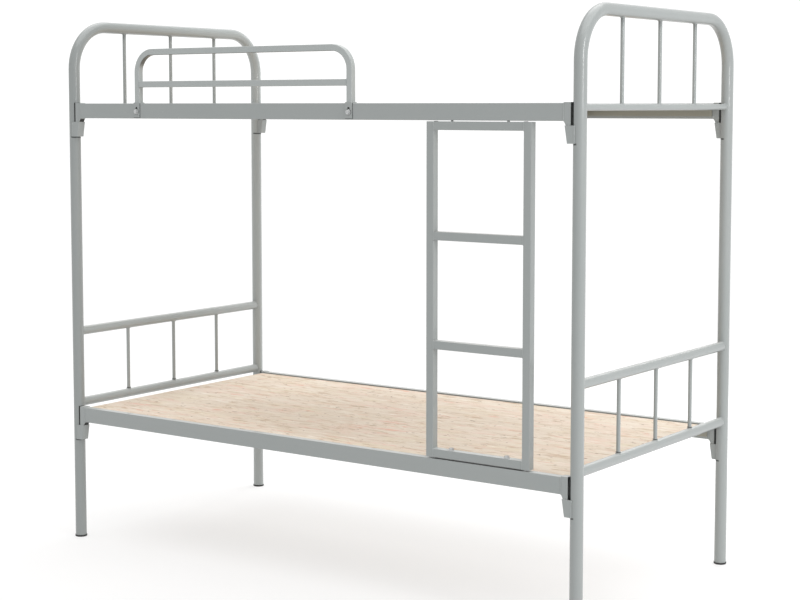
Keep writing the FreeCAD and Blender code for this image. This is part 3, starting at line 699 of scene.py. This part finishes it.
def socket_seams(seams, side, sign, face, face_sign, deck):
    """Upright beads where the socket's two cheeks meet the post."""
    socket = f"{side}_{face}_{deck}_socket"
    low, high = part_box(socket)
    post = middle(f"{side}_{face}_foot")
    radius = half(f"{side}_arch_tube").x
    outer = max(abs(low.y), abs(high.y)) - 0.0008
    inner = min(abs(low.y), abs(high.y))
    outer_x = max(abs(low.x), abs(high.x))
    inner_x = abs(post.x) - math.sqrt(radius ** 2 - (abs(post.y) - inner) ** 2)
    for x, y in ((outer_x, outer), (inner_x, inner)):
        seams.line([Vector((sign * x, face_sign * y, low.z + (high.z - low.z) * step / 4))
                    for step in range(5)])


def deck_seams(seams, deck):
    """Beads round the rails' ends, stitches under the ledges and beside each bearer."""
    for face, face_sign in FACES:
        rail = f"{deck}_{face}_rail"
        for _, sign in SIDES:
            centre = middle(rail) + Vector((sign * half(rail).x, 0, 0))
            seams.loop(frame_loop(centre, "x", half(rail).y, half(rail).z, RAIL_CORNER))
        ledge_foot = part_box(f"{deck}_ledges")[0].z
        inner = abs(middle(rail).y) - half(rail).y
        for stitch in range(LEDGE_STITCHES):
            x = (stitch - (LEDGE_STITCHES - 1) / 2) * STITCH_SPACING
            seams.line([Vector((x + step * 0.01, face_sign * (inner - 0.001), ledge_foot))
                        for step in range(-2, 3)])
        toe = half(f"{deck}_bearers").y
        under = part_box(f"{deck}_ledges")[1].z - 0.0035
        for bearer in range(BEARERS):
            x = (bearer - (BEARERS - 1) / 2) * BEARER_SPACING
            seams.line([Vector((x + step * 0.005, face_sign * (toe + 0.0005), under))
                        for step in range(-2, 3)])


def ladder_seams(seams):
    """Beads where the four rungs meet the stiles."""
    for rung in range(1, 5):
        node = f"ladder_rung_{rung}"
        size = half(node)
        for _, sign in SIDES:
            centre = middle(node) + Vector((sign * size.x, 0, 0))
            seams.loop(frame_loop(centre, "x", size.y, size.z, TUBE_CORNER))


def guard_seams(seams):
    """Beads at the ends of the guard's bar and at the feet of its hoop."""
    size = half("guard_bar")
    for side, sign in SIDES:
        centre = middle("guard_bar") + Vector((sign * size.x, 0, 0))
        seams.loop(frame_loop(centre, "x", size.y, size.z, TUBE_CORNER))
        bracket_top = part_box(f"guard_{side}_bracket")[1].z
        foot = Vector((middle(f"guard_{side}_bracket").x, middle("guard_hoop").y, bracket_top))
        seams.loop(frame_loop(foot, "z", size.y, size.y, TUBE_CORNER))


heavy, light, rings = Seams(), Seams(), Seams()
for side, sign in SIDES:
    end_frame_seams(heavy, rings, side)
    for face, face_sign in FACES:
        for deck in DECKS:
            socket_seams(heavy, side, sign, face, face_sign, deck)
for deck in DECKS:
    deck_seams(light, deck)
ladder_seams(light)
guard_seams(light)

bead_tree = bead_builder()
for name, seams, radius, seed, finish in (
        ("end_frame_welds", heavy, 0.0021, 3.0, bead_enamel),
        # the rings are painted shadow
        ("rod_weld_rings", rings, 0.0018, 5.0, ring_shadow_enamel),
        ("rail_and_ladder_welds", light, 0.0013, 8.0, bead_enamel)):
    welds = bead_tree.run(seams.carrier(f"{name}_paths"), name, Bead_Radius=radius,
                          Ripple_Length=RIPPLE_LENGTH, Ripple_Depth=0.10, Unevenness=0.7,
                          Seed=seed, Material=finish)
    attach(welds, "frame")


# ---------------------------------------------------------------- flanged bolts
HEAD_FLATS = 0.013
HEAD_HEIGHT = 0.005
FLANGE_RADIUS = 0.0085
FLANGE_HEIGHT = 0.0016
FLANGE_EDGE = 0.0003        # the round of the flange's rim
SHANK_RADIUS = 0.004
THREAD_PITCH = 0.00125
THREAD_DEPTH = 0.0006
TIP_RADIUS = 0.0028
TIP_LENGTH = 0.0012
DISH_RADIUS = 0.0048        # the hollow in the head
DISH_DEPTH = 0.0004
DISH_FLOOR = 0.0042         # the radius of its flat floor
LONG_SHANK = 0.0415         # down through the foot rung and into the rail
SHORT_SHANK = 0.0150


def hexagon(angle, flats):
    """The radius of a hexagon at an angle, from its width across flats."""
    turn = (angle + math.pi / 6) % (math.pi / 3) - math.pi / 6
    return flats / 2 / math.cos(turn)


def bolt_rings(shank):
    """(height, radius at an angle) of each ring, from the shank's tip to the head's dish."""
    rings = [(-shank, lambda a: TIP_RADIUS)]
    turns = int((shank - 0.002) / THREAD_PITCH)
    for turn in range(turns):
        root = -shank + TIP_LENGTH + turn * THREAD_PITCH
        rings.append((root, lambda a: SHANK_RADIUS - THREAD_DEPTH))
        rings.append((root + THREAD_PITCH / 2, lambda a: SHANK_RADIUS))
    rings.append((-0.0004, lambda a: SHANK_RADIUS))
    rings.append((0.0, lambda a: SHANK_RADIUS))
    rings.append((0.0, lambda a: FLANGE_RADIUS - FLANGE_EDGE))
    rings.append((FLANGE_EDGE, lambda a: FLANGE_RADIUS))
    rings.append((3 * FLANGE_EDGE, lambda a: FLANGE_RADIUS))
    rings.append((FLANGE_HEIGHT, lambda a: hexagon(a, HEAD_FLATS) + 0.0002))
    top = FLANGE_HEIGHT + HEAD_HEIGHT
    crown = HEAD_FLATS / 2 * 0.95
    for drop in (0.0009, 0.0006, 0.0003, 0.0):
        limit = crown + drop * math.sqrt(3)
        rings.append((top - drop, lambda a, limit=limit: min(hexagon(a, HEAD_FLATS), limit)))
    rings.append((top, lambda a: DISH_RADIUS))
    rings.append((top - DISH_DEPTH, lambda a: DISH_FLOOR))
    return rings


def bolt_mesh(name, shank, around=48):
    shape = bmesh.new()
    loops = []
    for height, radius in bolt_rings(shank):
        angles = [2 * math.pi * step / around for step in range(around)]
        loops.append([shape.verts.new((radius(a) * math.cos(a), radius(a) * math.sin(a), height))
                      for a in angles])
    for low, high in zip(loops, loops[1:]):
        for step in range(around):
            after = (step + 1) % around
            shape.faces.new((low[step], low[after], high[after], high[step]))
    shape.faces.new(list(reversed(loops[0])))
    shape.faces.new(loops[-1])
    for face in shape.faces:
        face.smooth = True
    mesh = bpy.data.meshes.new(name)
    shape.to_mesh(mesh)
    shape.free()
    mesh.set_sharp_from_angle(angle=math.radians(28))
    return mesh


def bolt_points():
    """Each bolt's seat, the way its head points, and 0 for a long or 1 for a short shank."""
    foot_rung, top_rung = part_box("ladder_rung_1"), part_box("ladder_rung_4")
    low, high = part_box("ladder_bolts")
    seats = []
    for x in (low.x + FLANGE_RADIUS, high.x - FLANGE_RADIUS):
        y = middle("ladder_bolts").y
        seats.append((Vector((x, y, foot_rung[1].z)), Vector((0, 0, 1)), 0))
        seats.append((Vector((x, y, top_rung[1].z - 0.0012)), Vector((0, 0, -1)), 1))
    low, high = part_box("guard_bolts")
    for x in (low.x + FLANGE_RADIUS, high.x - FLANGE_RADIUS):
        seat = Vector((x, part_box("guard_left_bracket")[0].y, middle("guard_bolts").z))
        seats.append((seat, Vector((0, -1, 0)), 1))
    return seats


bolt_set = bpy.data.collections.new("bolt_set")
bolt_patterns = [bpy.data.objects.new(name, bolt_mesh(name, shank))
                 for name, shank in (("bolt_a_long", LONG_SHANK), ("bolt_b_short", SHORT_SHANK))]
for pattern in bolt_patterns:
    bolt_set.objects.link(pattern)
seats = bolt_points()
seat_mesh = bpy.data.meshes.new("bolt_seats")
seat_mesh.from_pydata([tuple(seat) for seat, _, _ in seats], [], [])
seat_mesh.attributes.new("way", "FLOAT_VECTOR", "POINT").data.foreach_set(
    "vector", [value for _, way, _ in seats for value in way])
seat_mesh.attributes.new("kind", "INT", "POINT").data.foreach_set(
    "value", [kind for _, _, kind in seats])
bolts = bolt_builder().run(add_object("bolt_seats", seat_mesh), "flanged_bolts",
                           Bolts=bolt_set, Seed=4, Material=zinc)
for pattern in bolt_patterns:
    bpy.data.objects.remove(pattern)
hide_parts("ladder_bolts", "guard_bolts")
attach(bolts, "frame")


# ---------------------------------------------------------------- studio
FLOOR_REACH = 60.0
FLOOR_GLOW = 0.60
ROOM = 0.58                 # the white room's light on the bed
ROOM_SEEN = 0.52            # what more of it the camera sees
ROOM_MIRRORED = 0.30        # and what more the glossy enamel mirrors
KEY_POWER = 2.25
KEY_SPREAD = math.radians(85)
KEY_FROM = Vector((0.06, 0.02, 0.99)) * 10
PANELS = (                  # name, place, size, power, mirrored in the enamel
    ("back_panel", (-0.2, 3.4, 2.3), (3.0, 1.4), 80, False),
    ("end_panel", (4.4, -1.4, 2.5), (0.7, 2.2), 50, True),
    ("end_fill", (4.6, 0.2, 1.0), (1.2, 1.0), 26, False))
LIT = Vector((0, 0, 0.9))   # where every light points
CAMERA_PLACE = (3.2653, -4.5459, 1.4862)
CAMERA_DIP = 0.0812
CAMERA_TURN = 0.61726
LENS = 76.12
LENS_SHIFT = -0.07


def studio_floor():
    """A wide pale floor."""
    lino = Finish("studio_floor")
    tone = lino.noise(lino.place, 1.4, 3.0)
    lino.set(Base_Color=lino.blend(tone, (0.32, 0.32, 0.32), (0.34, 0.34, 0.34)),
             Roughness=0.75 + tone * 0.1, Specular_IOR_Level=0.1,
             Emission_Color=(1.0, 1.0, 1.0), Emission_Strength=FLOOR_GLOW)
    mesh = bpy.data.meshes.new("studio_floor")
    corners = ((-1, -1), (1, -1), (1, 1), (-1, 1))
    mesh.from_pydata([(x * FLOOR_REACH, y * FLOOR_REACH, 0) for x, y in corners], [],
                     [(0, 1, 2, 3)])
    mesh.materials.append(lino.material)
    floor = add_object("studio_floor", mesh)


def studio_light():
    """A white room, a very wide soft light from overhead and three soft panels."""
    world = bpy.data.worlds.new("white_room")
    bpy.context.scene.world = world
    world.use_nodes = True
    room = NodeTree(world.node_tree)
    seen = room.node("ShaderNodeLightPath", output="Is Camera Ray")
    mirrored = room.node("ShaderNodeLightPath", output="Is Glossy Ray")
    room.feed(world.node_tree.nodes["Background"].inputs["Strength"],
              ROOM + seen * ROOM_SEEN + mirrored * ROOM_MIRRORED)
    world.node_tree.nodes["Background"].inputs["Color"].default_value = (1.0, 1.0, 1.0, 1.0)
    key = bpy.data.lights.new("key", "SUN")
    key.energy = KEY_POWER
    key.angle = KEY_SPREAD
    add_light("key", key, KEY_FROM)
    for name, place, size, power, mirrored in PANELS:
        panel = bpy.data.lights.new(name, "AREA")
        panel.shape = "RECTANGLE"
        panel.size, panel.size_y = size
        panel.energy = power
        add_light(name, panel, Vector(place)).visible_glossy = mirrored


def add_light(name, light, place):
    lamp = bpy.data.objects.new(name, light)
    lamp.location = place
    lamp.rotation_euler = (LIT - place).to_track_quat("-Z", "Y").to_euler()
    bpy.context.scene.collection.objects.link(lamp)
    return lamp


def studio_camera():
    lens = bpy.data.cameras.new("camera")
    lens.sensor_width = 36.0
    lens.lens = LENS
    lens.shift_y = LENS_SHIFT
    lens.clip_end = 200.0
    camera = bpy.data.objects.new("camera", lens)
    camera.location = CAMERA_PLACE
    camera.rotation_euler = (math.pi / 2 - CAMERA_DIP, 0.0, CAMERA_TURN)
    bpy.context.scene.collection.objects.link(camera)
    bpy.context.scene.camera = camera


studio_floor()
studio_light()
studio_camera()
bpy.context.scene.view_settings.view_transform = "Standard"
